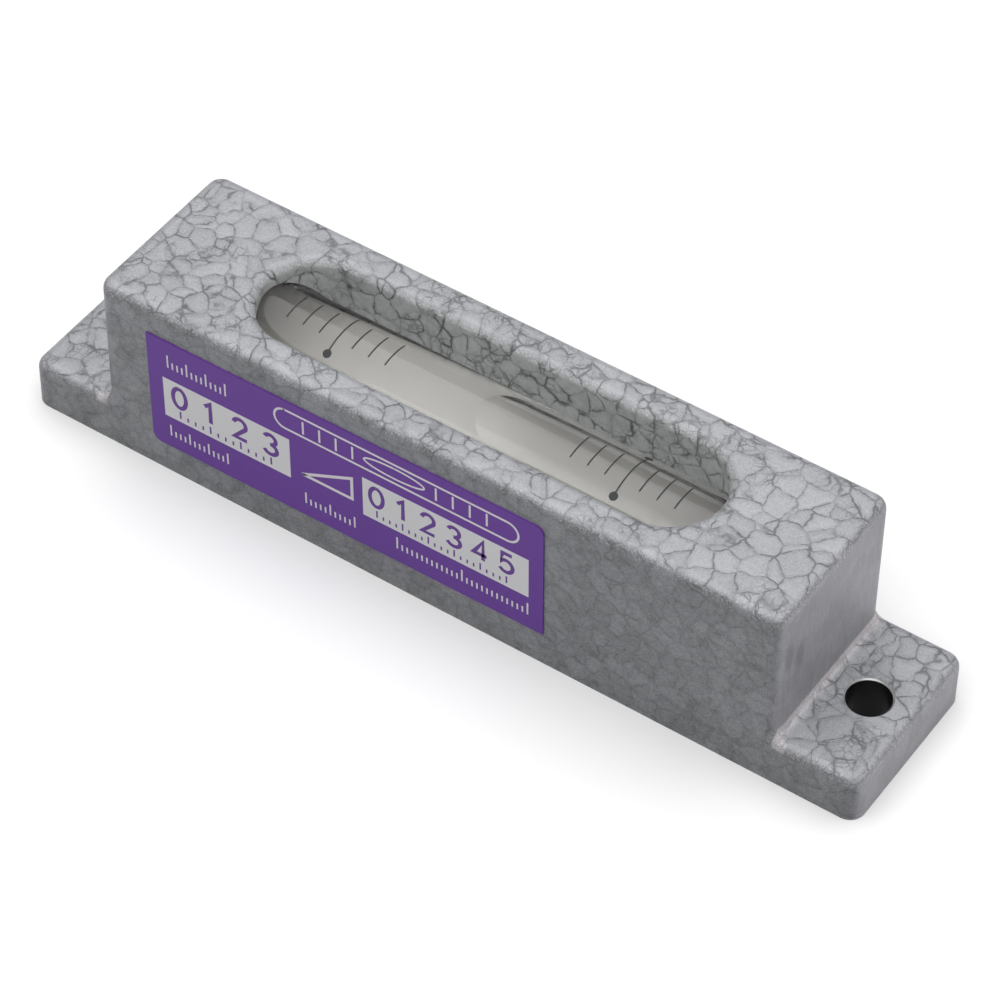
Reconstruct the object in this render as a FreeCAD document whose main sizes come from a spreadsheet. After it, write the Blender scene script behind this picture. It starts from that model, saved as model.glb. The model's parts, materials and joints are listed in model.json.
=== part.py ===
import FreeCAD, Part

import math
import os

import Sketcher
from FreeCAD import Placement, Rotation, Vector

# Screw-on precision level for machines, millimetres.
# Frame: origin at the middle of the machined base, X along the level, Y across it,
# Z up. The name plate is on the front, which faces -Y.
#
# A one-piece iron casting carries a ground glass vial. The vial goes in from underneath,
# into a cored chamber with a half-round roof, and is bedded in white plaster. A thin cover,
# held by four countersunk screws, closes the chamber just above the base plane.

doc = FreeCAD.newDocument("machine_level")

# ---------------------------------------------------------------- driving dimensions
SIZES = {
    # casting
    "base_length": 100.0,
    "body_width": 20.2,
    "body_height": 22.4,
    "flange_thickness": 5.8,
    "block_length": 80.6,
    "corner_radius": 1.7,       # upright corners, seen from above
    "edge_radius": 1.2,         # rounding of the top edges
    "cove_radius": 1.0,         # inside corner between block and flange
    "bolt_pitch": 90.0,
    "bolt_hole_diameter": 4.6,
    "bolt_hole_rim": 0.2,       # small bevel round each hole
    # window over the vial
    "window_length": 53.8,
    "window_offset": 0.35,
    "window_lip_radius": 1.05,
    # vial
    "vial_axis_height": 14.7,
    "glass_diameter": 11.64,
    "glass_wall": 1.2,
    "vial_straight_length": 63.0,
    "glass_end_depth": 2.4,     # how far each bevelled end stands past the straight part
    "seal_root_diameter": 3.0,  # the drawn-off tip tapers from this
    "seal_tip_diameter": 1.2,
    "seal_tip_length": 2.2,
    "graduation_pitch": 2.0,    # travel of the bubble for one division
    "sensitivity": 0.00005,     # slope of one division, 0.05 mm in a metre
    "bubble_length": 32.0,
    "bubble_left_end": -0.5,    # where the bubble's left end lies at rest
    "bubble_half_angle": 45.0,  # half the arc of bore that the bubble covers, degrees
    "bubble_gap": 0.15,         # bubble to glass and to liquid: it slides between them
    "wetting_gap": 0.08,        # liquid to glass
    # chamber, bedding and cover
    "glass_clearance": 0.18,    # glass to the walls of the chamber and the window
    "chamber_length": 74.0,
    "bed_gap": 0.05,            # shrinkage of the plaster from the walls and the glass
    "bed_recess": 0.3,          # plaster stops short of the cover
    "bed_height": 13.0,         # top of the plaster where the window shows the vial
    "bed_collar_margin": 1.0,   # the end collars start this far past the window
    "cover_length": 80.0,
    "cover_width": 15.4,
    "cover_thickness": 1.0,
    "cover_corner_radius": 2.0,
    "cover_recess": 0.2,        # cover lies this far above the base plane
    "cover_clearance": 0.15,
    "screw_pitch_x": 74.8,
    "screw_pitch_y": 10.6,
    "screw_diameter": 2.0,
    "screw_head_diameter": 3.8,
    "screw_length": 4.0,
    "screw_slot_width": 0.5,
    "screw_slot_depth": 0.4,
    "screw_clearance": 0.05,
    "screw_hole_spare": 0.6,    # tapped hole is this much deeper than the screw
    # name plate
    "plate_length": 48.0,
    "plate_height": 15.0,
    "plate_thickness": 0.15,
    "plate_corner_radius": 1.0,
    "plate_centre_x": -10.1,
    "plate_centre_z": 11.6,
    "plate_tilt": 0.6,          # degrees, right-hand end up: it is stuck on by hand
}

dims = doc.addObject("Spreadsheet::Sheet", "dims")
for row, (alias, value) in enumerate(SIZES.items(), start=1):
    dims.set(f"A{row}", alias)
    dims.set(f"B{row}", str(value))
    dims.setAlias(f"B{row}", alias)
doc.recompute()


def size(alias):
    """A driving dimension, read from the sheet."""
    return float(dims.get(alias))


# ---------------------------------------------------------------- sketch helpers
PLANES = {"XY": "XY_Plane", "XZ": "XZ_Plane", "YZ": "YZ_Plane"}


def new_body(label):
    body = doc.addObject("PartDesign::Body", label)
    body.Label = label
    return body


def new_sketch(body, name, plane="XY", offset=None):
    """A sketch on one of the body's origin planes. offset maps x, y or z to an expression."""
    sketch = body.newObject("Sketcher::SketchObject", name)
    origin = [f for f in body.Origin.OriginFeatures if f.Role == PLANES[plane]][0]
    sketch.AttachmentSupport = [(origin, "")]
    sketch.MapMode = "FlatFace"
    for axis, expression in (offset or {}).items():
        sketch.setExpression(f".AttachmentOffset.Base.{axis}", expression)
    return sketch


def bind(sketch, index, name, expression):
    sketch.renameConstraint(index, name)
    sketch.setExpression(f".Constraints.{name}", expression)


def draw_slot(sketch, length, width):
    """A straight slot with round ends, centred on the sketch's origin."""
    half, radius = 10.0, 2.0
    up = Vector(0, 0, 1)
    left = Part.Circle(Vector(-half, 0, 0), up, radius)
    right = Part.Circle(Vector(half, 0, 0), up, radius)
    sketch.addGeometry([
        Part.LineSegment(Vector(half, radius, 0), Vector(-half, radius, 0)),
        Part.ArcOfCircle(left, math.pi / 2, 3 * math.pi / 2),
        Part.LineSegment(Vector(-half, -radius, 0), Vector(half, -radius, 0)),
        Part.ArcOfCircle(right, -math.pi / 2, math.pi / 2),
    ], False)
    for first, second in ((0, 1), (1, 2), (2, 3), (3, 0)):
        sketch.addConstraint(Sketcher.Constraint("Tangent", first, 2, second, 1))
    sketch.addConstraint(Sketcher.Constraint("Equal", 1, 3))
    sketch.addConstraint(Sketcher.Constraint("Symmetric", 1, 3, 3, 3, -1, 1))
    sketch.addConstraint(Sketcher.Constraint("PointOnObject", 1, 3, -1))
    index = sketch.addConstraint(Sketcher.Constraint("Radius", 1, radius))
    bind(sketch, index, "end_radius", f"({width}) / 2")
    index = sketch.addConstraint(Sketcher.Constraint("DistanceX", 1, 3, 3, 3, 2 * half))
    bind(sketch, index, "centres", f"({length}) - ({width})")


def draw_rectangle(sketch, length, width, radius=None):
    """A rectangle centred on the sketch's origin, with round corners if radius is given."""
    x, y, r = 10.0, 6.0, 1.0 if radius else 0.0
    corners = ((x, y), (-x, y), (-x, -y), (x, -y))
    lines = [
        Part.LineSegment(Vector(x - r, y, 0), Vector(-x + r, y, 0)),
        Part.LineSegment(Vector(-x, y - r, 0), Vector(-x, -y + r, 0)),
        Part.LineSegment(Vector(-x + r, -y, 0), Vector(x - r, -y, 0)),
        Part.LineSegment(Vector(x, -y + r, 0), Vector(x, y - r, 0)),
    ]
    sketch.addGeometry(lines, False)
    if radius:
        up = Vector(0, 0, 1)
        for number, (cx, cy) in enumerate((corners[1], corners[2], corners[3], corners[0])):
            centre = Vector(cx - math.copysign(r, cx), cy - math.copysign(r, cy), 0)
            start = math.pi / 2 * (number + 1)
            arc = Part.ArcOfCircle(Part.Circle(centre, up, r), start, start + math.pi / 2)
            sketch.addGeometry(arc, False)
        for number in range(4):
            arc = 4 + number
            sketch.addConstraint(Sketcher.Constraint("Tangent", number, 2, arc, 1))
            sketch.addConstraint(Sketcher.Constraint("Tangent", arc, 2, (number + 1) % 4, 1))
        for arc in (5, 6, 7):
            sketch.addConstraint(Sketcher.Constraint("Equal", 4, arc))
        index = sketch.addConstraint(Sketcher.Constraint("Radius", 4, r))
        bind(sketch, index, "corner", radius)
        sketch.addConstraint(Sketcher.Constraint("Symmetric", 4, 3, 6, 3, -1, 1))
    else:
        for number in range(4):
            following = (number + 1) % 4
            sketch.addConstraint(Sketcher.Constraint("Coincident", number, 2, following, 1))
        sketch.addConstraint(Sketcher.Constraint("Symmetric", 0, 2, 2, 2, -1, 1))
    for line in (0, 2):
        sketch.addConstraint(Sketcher.Constraint("Horizontal", line))
    for line in (1, 3):
        sketch.addConstraint(Sketcher.Constraint("Vertical", line))
    index = sketch.addConstraint(Sketcher.Constraint("DistanceX", 1, 1, 3, 2, 2 * x))
    bind(sketch, index, "long_side", length)
    index = sketch.addConstraint(Sketcher.Constraint("DistanceY", 2, 1, 0, 2, 2 * y))
    bind(sketch, index, "short_side", width)


def draw_circles(sketch, diameter, places):
    """Circles of one diameter. places holds (sign, expression) pairs for x and for y."""
    for number, ((sign_x, across), (sign_y, along)) in enumerate(places):
        centre = Vector(5.0 * sign_x, 5.0 * sign_y, 0)
        circle = Part.Circle(centre, Vector(0, 0, 1), 1.0)
        geometry = sketch.addGeometry(circle, False)
        index = sketch.addConstraint(Sketcher.Constraint("Diameter", geometry, 2.0))
        bind(sketch, index, f"diameter_{number}", diameter)
        for kind, sign, name, expression in (
            ("DistanceX", sign_x, "x", across),
            ("DistanceY", sign_y, "y", along),
        ):
            if sign == 0:
                axis = -1 if kind == "DistanceY" else -2
                sketch.addConstraint(
                    Sketcher.Constraint("PointOnObject", geometry, 3, axis))
                continue
            ends = (-1, 1, geometry, 3) if sign > 0 else (geometry, 3, -1, 1)
            index = sketch.addConstraint(Sketcher.Constraint(kind, *ends, 5.0))
            bind(sketch, index, f"{name}_{number}", expression)


def pad(body, sketch, name, length, reverse=False):
    feature = body.newObject("PartDesign::Pad", name)
    feature.Profile = sketch
    feature.Reversed = reverse
    feature.setExpression("Length", length)
    sketch.Visibility = False
    doc.recompute()
    return feature


def pocket(body, sketch, name, depth, upwards=False):
    """A pocket, checked to take material away. upwards cuts along the sketch's normal."""
    before = body.Shape.Volume
    feature = body.newObject("PartDesign::Pocket", name)
    feature.Profile = sketch
    feature.Reversed = upwards
    feature.setExpression("Length", depth)
    sketch.Visibility = False
    doc.recompute()
    if body.Shape.Volume > before - 1e-3:
        raise ValueError(f"{name} cuts nothing")
    return feature


def round_edges(body, base, name, radius, wanted):
    """A fillet on every edge of base for which wanted(edge) is true."""
    names = [f"Edge{i}" for i, edge in enumerate(base.Shape.Edges, start=1) if wanted(edge)]
    if not names:
        raise ValueError(f"{name} finds no edges")
    feature = body.newObject("PartDesign::Fillet", name)
    feature.Base = (base, names)
    feature.setExpression("Radius", radius)
    doc.recompute()
    return feature


def bevel_edges(body, base, name, width, wanted):
    names = [f"Edge{i}" for i, edge in enumerate(base.Shape.Edges, start=1) if wanted(edge)]
    if not names:
        raise ValueError(f"{name} finds no edges")
    feature = body.newObject("PartDesign::Chamfer", name)
    feature.Base = (base, names)
    feature.setExpression("Size", width)
    doc.recompute()
    return feature


def level_edge(edge, height):
    """True if the whole edge lies at one height."""
    box = edge.BoundBox
    return abs(box.ZMin - height) < 1e-4 and abs(box.ZMax - height) < 1e-4


def is_circle(edge, radius):
    """True if the edge is part of a circle of this radius."""
    if edge.Degenerated:
        return False
    return edge.Curve.TypeId == "Part::GeomCircle" and abs(edge.Curve.Radius - radius) < 1e-6


def add_feature(label, shape):
    feature = doc.addObject("Part::Feature", label)
    feature.Label = label
    feature.Shape = shape
    return feature


def add_boolean(kind, label, base, tool):
    feature = doc.addObject(kind, label)
    feature.Label = label
    feature.Base = base
    feature.Tool = tool
    doc.recompute()
    return feature


# ---------------------------------------------------------------- casting
CHAMBER_WIDTH = "dims.glass_diameter + 2 * dims.glass_clearance"


def draw_side_profile(sketch):
    """Front view of the casting: a block on a flanged plate, with a cove at each step."""
    half, block = size("base_length") / 2, size("block_length") / 2
    step, top, cove = size("flange_thickness"), size("body_height"), size("cove_radius")
    up = Vector(0, 0, 1)
    points = [Vector(*p, 0) for p in (
        (-half, 0), (half, 0), (half, step), (block + cove, step), (block, step + cove),
        (block, top), (-block, top), (-block, step + cove), (-block - cove, step),
        (-half, step))]
    edges = [Part.LineSegment(points[i], points[(i + 1) % 10]) for i in range(10)]
    for number, side, start in ((3, 1, math.pi), (7, -1, 1.5 * math.pi)):
        circle = Part.Circle(Vector(side * (block + cove), step + cove, 0), up, cove)
        edges[number] = Part.ArcOfCircle(circle, start, start + math.pi / 2)
    sketch.addGeometry(edges, False)
    for first, second in ((0, 1), (1, 2), (4, 5), (5, 6), (8, 9), (9, 0)):
        sketch.addConstraint(Sketcher.Constraint("Coincident", first, 2, second, 1))
    for line, line_end, arc, arc_end in ((2, 2, 3, 2), (4, 1, 3, 1), (6, 2, 7, 2), (8, 1, 7, 1)):
        sketch.addConstraint(Sketcher.Constraint("Tangent", line, line_end, arc, arc_end))
    for line in (0, 2, 8):
        sketch.addConstraint(Sketcher.Constraint("Horizontal", line))
    for line in (1, 4, 6, 9):
        sketch.addConstraint(Sketcher.Constraint("Vertical", line))
    sketch.addConstraint(Sketcher.Constraint("Symmetric", 0, 1, 0, 2, -1, 1))
    sketch.addConstraint(Sketcher.Constraint("Symmetric", 5, 1, 5, 2, -2))
    sketch.addConstraint(Sketcher.Constraint("Equal", 1, 9))
    sketch.addConstraint(Sketcher.Constraint("Equal", 3, 7))
    for kind, ends, value, name, expression in (
        ("Radius", (3,), cove, "cove", "dims.cove_radius"),
        ("DistanceX", (0, 1, 0, 2), 2 * half, "base", "dims.base_length"),
        ("DistanceX", (5, 2, 5, 1), 2 * block, "block", "dims.block_length"),
        ("DistanceY", (1, 1, 1, 2), step, "flange", "dims.flange_thickness"),
        ("DistanceY", (0, 2, 5, 1), top, "height", "dims.body_height"),
    ):
        index = sketch.addConstraint(Sketcher.Constraint(kind, *ends, value))
        bind(sketch, index, name, expression)


def runs_anticlockwise(edge):
    """Sense of an edge round its own end of the casting, seen from above.

    Each flange's upper edges form one tangent chain: down one upright of the block and its
    cove, round the flange, and up the other cove and upright.
    """
    start, end = edge.valueAt(edge.FirstParameter), edge.valueAt(edge.LastParameter)
    if abs(end.z - start.z) > 1e-6:
        return (end.z > start.z) == (start.x * start.y > 0)
    block_end = Vector(math.copysign(size("block_length") / 2, start.x), 0, start.z)
    return (start - block_end).cross(end - start).z > 0


def round_outline(blank):
    """Rounds every upper outside edge of the casting's blank in one run.

    The top edges have the edge radius and the block's upright corners the corner radius.
    Between them, along each cove, the radius grows evenly from one to the other. A radius
    pair follows its chain, which runs the way of the chain's first edge.
    """
    step, top, cove = size("flange_thickness"), size("body_height"), size("cove_radius")
    top_radius, corner = size("edge_radius"), size("corner_radius")
    chain_sense = {}
    table = []
    for number, edge in enumerate(blank.Shape.Edges, start=1):
        box = edge.BoundBox
        on_top = box.ZMin > top - 1e-4
        across = box.YMax - box.YMin > size("body_width") / 2
        at_end = abs(abs(box.Center.x) - size("base_length") / 2) < 1e-4
        if box.ZMin < step - 1e-4 or across and not (at_end or on_top):
            continue
        end_sign = math.copysign(1, box.Center.x)
        if not on_top:
            chain_sense.setdefault(end_sign, runs_anticlockwise(edge))
        if on_top or box.ZMax < step + 1e-4:
            radii = (top_radius, top_radius)
        elif box.ZMax > step + cove + 1e-4:
            radii = (corner, corner)
        else:
            climbs = chain_sense[end_sign] == (end_sign * box.Center.y > 0)
            radii = (top_radius, corner) if climbs else (corner, top_radius)
        table.append((number, *radii))
    rounded = doc.addObject("Part::Fillet", "rounded_blank")
    rounded.Base = blank
    rounded.Edges = table
    doc.recompute()
    long_flange_edges = [
        face for face in rounded.Shape.Faces
        if face.Surface.TypeId == "Part::GeomCylinder"
        and abs(face.Surface.Axis.x) > 0.999 and face.BoundBox.ZMax < step + 1e-4]
    if len(long_flange_edges) != 4:
        raise ValueError("the outline isn't rounded evenly")
    return rounded


def chamber_core(label, inset):
    """The shape that fills the chamber: a round-ended slot up from the base plane, with a
    half-round roof over the vial. inset is an expression that makes it smaller all round."""
    slot = new_body(f"{label}_slot")
    outline = new_sketch(slot, f"{label}_outline")
    draw_slot(outline, f"dims.chamber_length - 2 * ({inset})",
              f"{CHAMBER_WIDTH} - 2 * ({inset})")
    pad(slot, outline, f"{label}_prism", "dims.body_height")
    walls = doc.addObject("Part::Box", f"{label}_walls")
    walls.setExpression("Length", "dims.chamber_length")
    walls.setExpression("Width", CHAMBER_WIDTH)
    walls.setExpression("Height", "dims.vial_axis_height")
    walls.setExpression(".Placement.Base.y", f"-({CHAMBER_WIDTH}) / 2")
    roof = doc.addObject("Part::Cylinder", f"{label}_roof")
    roof.Placement = Placement(Vector(), Rotation(Vector(0, 1, 0), 90))
    roof.setExpression("Radius", f"({CHAMBER_WIDTH}) / 2 - ({inset})")
    roof.setExpression("Height", "dims.chamber_length")
    roof.setExpression(".Placement.Base.z", "dims.vial_axis_height")
    for piece in (walls, roof):
        piece.setExpression(".Placement.Base.x", "-dims.chamber_length / 2")
    doc.recompute()
    tunnel = add_boolean("Part::Fuse", f"{label}_tunnel", walls, roof)
    return add_boolean("Part::Common", label, slot, tunnel)


def make_casting():
    """Flanged iron casting: plate and block with rounded edges, window, chamber, holes."""
    blank = new_body("casting_blank")
    outline = new_sketch(blank, "side_profile", plane="XZ",
                         offset={"z": "-dims.body_width / 2"})
    draw_side_profile(outline)
    feature = pad(blank, outline, "blank", "dims.body_width")
    half_base = size("base_length") / 2

    def is_flange_corner(edge):
        box = edge.BoundBox
        return (box.ZMax - box.ZMin > 1e-3 and box.YMax - box.YMin < 1e-3
                and abs(abs(box.XMin) - half_base) < 1e-4
                and abs(abs(box.XMax) - half_base) < 1e-4)

    round_edges(blank, feature, "flange_corners", "dims.corner_radius", is_flange_corner)
    rounded = round_outline(blank)

    body = new_body("casting_before_chamber")
    body.BaseFeature = rounded
    doc.recompute()
    top = size("body_height")

    # window: a slot of the chamber's width, down to the vial's axis
    window = new_sketch(body, "window_outline", offset={
        "x": "dims.window_offset", "z": "dims.body_height"})
    draw_slot(window, "dims.window_length", CHAMBER_WIDTH)
    feature = pocket(body, window, "window", "dims.body_height - dims.vial_axis_height")
    half_width = size("body_width") / 2 - size("edge_radius")
    half_block = size("block_length") / 2 - size("edge_radius")

    def is_lip(edge):
        box = edge.BoundBox
        inside = box.YMax < half_width - 0.1 and box.YMin > -half_width + 0.1
        return level_edge(edge, top) and inside and abs(box.XMax) < half_block - 0.1

    round_edges(body, feature, "window_lip", "dims.window_lip_radius", is_lip)

    # rebate for the cover, and its four tapped holes
    rebate = new_sketch(body, "rebate_outline")
    draw_rectangle(rebate, "dims.cover_length + 2 * dims.cover_clearance",
                   "dims.cover_width + 2 * dims.cover_clearance",
                   "dims.cover_corner_radius + dims.cover_clearance")
    pocket(body, rebate, "cover_rebate", "dims.cover_recess + dims.cover_thickness",
           upwards=True)
    holes = new_sketch(body, "tapped_hole_centres")
    draw_circles(holes, "dims.screw_diameter + 2 * dims.screw_clearance", [
        ((x, "dims.screw_pitch_x / 2"), (y, "dims.screw_pitch_y / 2"))
        for x in (-1, 1) for y in (-1, 1)])
    pocket(body, holes, "tapped_holes",
           "dims.cover_recess + dims.screw_length + dims.screw_hole_spare", upwards=True)

    # bolt holes through the flanges, with a small bevel at both ends
    holes = new_sketch(body, "bolt_hole_centres")
    draw_circles(holes, "dims.bolt_hole_diameter", [
        ((x, "dims.bolt_pitch / 2"), (0, "")) for x in (-1, 1)])
    feature = pocket(body, holes, "bolt_holes", "dims.body_height", upwards=True)
    radius = size("bolt_hole_diameter") / 2

    bevel_edges(body, feature, "bolt_hole_rims", "dims.bolt_hole_rim",
                lambda edge: is_circle(edge, radius))
    return add_boolean("Part::Cut", "body_casting", body, chamber_core("core", "0"))


# ---------------------------------------------------------------- vial
def closed_tube(radius, half_straight, end_depth, sagitta=0.0):
    """A closed tube along X at the vial's height, with bevelled shoulders and flat ends.

    The wall is straight, or with a sagitta it is a curve that is that much further out in
    the middle: a parabola, which a long flat arc can't be told from.
    """
    reach, shoulder = half_straight + end_depth, radius - end_depth
    left, right = Vector(-half_straight, 0, radius), Vector(half_straight, 0, radius)
    if sagitta:
        curve = Part.BezierCurve()
        curve.setPoles([left, Vector(0, 0, radius + 2 * sagitta), right])
        wall = curve.toShape()
    else:
        wall = Part.makeLine(left, right)
    ends = Part.makePolygon([
        right, Vector(reach, 0, shoulder), Vector(reach, 0, 0), Vector(-reach, 0, 0),
        Vector(-reach, 0, shoulder), left])
    outline = Part.Wire([wall, *ends.Edges])
    solid = Part.Face(outline).revolve(Vector(0, 0, 0), Vector(1, 0, 0), 360)
    if solid.Volume < 0:
        solid.reverse()
    solid.translate(Vector(0, 0, size("vial_axis_height")))
    return solid


def glass_outside(grow=0.0):
    """Outside of the sealed tube, with the drawn-off tip on its left end."""
    radius = size("glass_diameter") / 2 + grow
    half = size("vial_straight_length") / 2
    end_depth = size("glass_end_depth") + grow
    tube = closed_tube(radius, half, end_depth)
    root_radius = size("seal_root_diameter") / 2 + grow
    tip_radius = size("seal_tip_diameter") / 2 + grow
    root = Vector(-half - end_depth / 2, 0, size("vial_axis_height"))
    length = end_depth / 2 + size("seal_tip_length") + grow
    tip = Part.makeCone(root_radius, tip_radius, length, root, Vector(-1, 0, 0))
    return tube.fuse(tip)


def ground_bore(shrink=0.0):
    """Room inside the tube.

    The wall is ground to a long arc. Its radius is what makes the bubble move one
    division for the stated slope, so it is the pitch divided by the slope.
    """
    radius = size("glass_diameter") / 2 - size("glass_wall") - shrink
    half = size("vial_straight_length") / 2
    barrel_radius = size("graduation_pitch") / size("sensitivity")
    sagitta = barrel_radius - math.sqrt(barrel_radius ** 2 - half ** 2)
    end_depth = size("glass_end_depth") - size("glass_wall") - shrink
    return closed_tube(radius - sagitta, half, end_depth, sagitta)


BORE_RADIUS = "(dims.glass_diameter / 2 - dims.glass_wall)"
LIQUID_LEVEL = f"dims.vial_axis_height + {BORE_RADIUS} * cos(dims.bubble_half_angle * 1 deg)"


def make_vial():
    """Sealed glass tube with its ground bore."""
    blank = add_feature("glass_blank", glass_outside())
    bore = add_feature("ground_bore", ground_bore())
    return add_boolean("Part::Cut", "vial_tube", blank, bore)


def make_spirit():
    """Liquid up to the level of the bubble's underside, which leaves the bubble its lane."""
    filling = add_feature("full_filling", ground_bore(size("wetting_gap")))
    lane = doc.addObject("Part::Box", "bubble_lane")
    lane.setExpression("Length", "dims.chamber_length")
    lane.setExpression("Width", "dims.glass_diameter")
    lane.setExpression("Height", "dims.glass_diameter")
    lane.setExpression(".Placement.Base.x", "-dims.chamber_length / 2")
    lane.setExpression(".Placement.Base.y", "-dims.glass_diameter / 2")
    lane.setExpression(".Placement.Base.z", LIQUID_LEVEL)
    return add_boolean("Part::Cut", "vial_spirit", filling, lane)


def make_bubble():
    """The vapour bubble: round-ended in plan, flat below, arched like the bore above."""
    body = new_body("bubble_plan")
    plan = new_sketch(body, "bubble_outline")
    draw_slot(plan, "dims.bubble_length",
              f"2 * {BORE_RADIUS} * sin(dims.bubble_half_angle * 1 deg)")
    pad(body, plan, "bubble_block", "dims.glass_diameter / 2")
    body.setExpression(".Placement.Base.x", "dims.bubble_left_end + dims.bubble_length / 2")
    body.setExpression(".Placement.Base.z", f"{LIQUID_LEVEL} + dims.bubble_gap")
    room = doc.addObject("Part::Cylinder", "bubble_room")
    room.Placement = Placement(Vector(), Rotation(Vector(0, 1, 0), 90))
    room.setExpression("Radius", f"{BORE_RADIUS} - dims.bubble_gap")
    room.setExpression("Height", "dims.vial_straight_length")
    room.setExpression(".Placement.Base.x", "-dims.vial_straight_length / 2")
    room.setExpression(".Placement.Base.z", "dims.vial_axis_height")
    doc.recompute()
    return add_boolean("Part::Common", "vapour_bubble", body, room)


# ---------------------------------------------------------------- bedding and cover
def make_bed():
    """Plaster poured from below: it fills the chamber up round the lower half of the
    vial, and closes over the vial's ends where the casting hides them."""
    poured = chamber_core("bed_poured", "dims.bed_gap")
    hollow = add_feature("bed_hollow", glass_outside(size("bed_gap")))
    moulded = add_boolean("Part::Cut", "bed_moulded", poured, hollow)

    below = doc.addObject("Part::Box", "bed_cover_space")
    below.setExpression("Height",
                        "dims.cover_recess + dims.cover_thickness + dims.bed_recess")
    above = doc.addObject("Part::Box", "bed_window_space")
    above.setExpression("Height", "dims.body_height")
    above.setExpression(".Placement.Base.z", "dims.bed_height")
    collar_start = "(dims.window_length / 2 + dims.bed_collar_margin)"
    for space, half, centre in (
        (below, "dims.chamber_length / 2", "0"),
        (above, collar_start, "dims.window_offset"),
    ):
        space.setExpression("Length", f"2 * {half}")
        space.setExpression("Width", "dims.body_width")
        space.setExpression(".Placement.Base.x", f"{centre} - {half}")
        space.setExpression(".Placement.Base.y", "-dims.body_width / 2")
    doc.recompute()
    levelled = add_boolean("Part::Cut", "bed_levelled", moulded, below)
    return add_boolean("Part::Cut", "plaster_bed", levelled, above)


def make_cover():
    """Thin plate that closes the chamber, with four countersunk holes."""
    body = new_body("base_cover")
    outline = new_sketch(body, "cover_outline", offset={"z": "dims.cover_recess"})
    draw_rectangle(outline, "dims.cover_length", "dims.cover_width",
                   "dims.cover_corner_radius")
    pad(body, outline, "cover_plate", "dims.cover_thickness")
    holes = new_sketch(body, "cover_hole_centres", offset={"z": "dims.cover_recess"})
    draw_circles(holes, "dims.screw_diameter + 2 * dims.screw_clearance", [
        ((x, "dims.screw_pitch_x / 2"), (y, "dims.screw_pitch_y / 2"))
        for x in (-1, 1) for y in (-1, 1)])
    feature = pocket(body, holes, "cover_holes", "dims.cover_thickness", upwards=True)
    underside = size("cover_recess")
    radius = size("screw_diameter") / 2 + size("screw_clearance")

    bevel_edges(body, feature, "cover_countersinks",
                "(dims.screw_head_diameter - dims.screw_diameter) / 2",
                lambda edge: is_circle(edge, radius) and level_edge(edge, underside))
    return body


SLOT_TURNS = (20, 75, 130, 165)     # degrees: each screw came to rest at its own angle


def make_screws():
    """Four slotted countersunk screws, heads flush with the underside of the cover."""
    shank = size("screw_diameter") / 2
    head = size("screw_head_diameter") / 2
    length = size("screw_length")
    profile = Part.makePolygon([
        Vector(0, 0, 0), Vector(head, 0, 0), Vector(shank, 0, head - shank),
        Vector(shank, 0, length), Vector(0, 0, length), Vector(0, 0, 0)])
    screw = Part.Face(profile).revolve(Vector(0, 0, 0), Vector(0, 0, 1), 360)
    slot = Part.makeBox(4 * head, size("screw_slot_width"), size("screw_slot_depth"))
    slot.translate(Vector(-2 * head, -size("screw_slot_width") / 2, 0))
    corners = [(x, y) for x in (-1, 1) for y in (-1, 1)]
    screws = []
    for (x, y), turn in zip(corners, SLOT_TURNS):
        turned = slot.copy()
        turned.rotate(Vector(0, 0, 0), Vector(0, 0, 1), turn)
        one = screw.cut(turned)
        one.translate(Vector(x * size("screw_pitch_x") / 2, y * size("screw_pitch_y") / 2,
                             size("cover_recess")))
        screws.append(one)
    return add_feature("cover_screws", Part.makeCompound(screws))


# ---------------------------------------------------------------- name plate
def make_name_plate():
    """Adhesive plate on the front, two of its corners rounded, stuck on a little askew."""
    body = new_body("name_plate")
    outline = new_sketch(body, "plate_outline", plane="XZ")
    draw_rectangle(outline, "dims.plate_length", "dims.plate_height")
    plate = pad(body, outline, "plate_sheet", "dims.plate_thickness")
    half = size("plate_length") / 2

    def is_rounded_corner(edge):
        box = edge.BoundBox
        through = box.YMax - box.YMin > size("plate_thickness") / 2
        lower_left = box.XMax < -half + 0.01 and box.ZMax < 0
        upper_right = box.XMin > half - 0.01 and box.ZMin > 0
        return through and (lower_left or upper_right)

    round_edges(body, plate, "plate_corners", "dims.plate_corner_radius", is_rounded_corner)
    body.Placement.Rotation = Rotation(Vector(0, -1, 0), size("plate_tilt"))
    body.setExpression(".Placement.Base.x", "dims.plate_centre_x")
    body.setExpression(".Placement.Base.y", "-dims.body_width / 2")
    body.setExpression(".Placement.Base.z", "dims.plate_centre_z")
    doc.recompute()
    return body


# ---------------------------------------------------------------- build and write
parts = [make_casting(), make_vial(), make_spirit(), make_bubble(), make_bed(),
         make_cover(), make_screws(), make_name_plate()]
doc.recompute()

for item in doc.Objects:
    if "Invalid" in item.State or "Error" in item.State:
        raise ValueError(f"{item.Label} failed: {item.State}")

os.makedirs("parts", exist_ok=True)
for item in parts:
    shape = item.Shape
    if shape.isNull() or not shape.isValid():
        raise ValueError(f"{item.Label} has no valid shape")
    shape.exportStep(f"parts/{item.Label}.step")
    print(f"{item.Label}: {len(shape.Solids)} solid(s), {shape.Volume:.1f} mm3")
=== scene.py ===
import json
import math

import bpy
import numpy as np
from mathutils import Matrix, Vector

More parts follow.
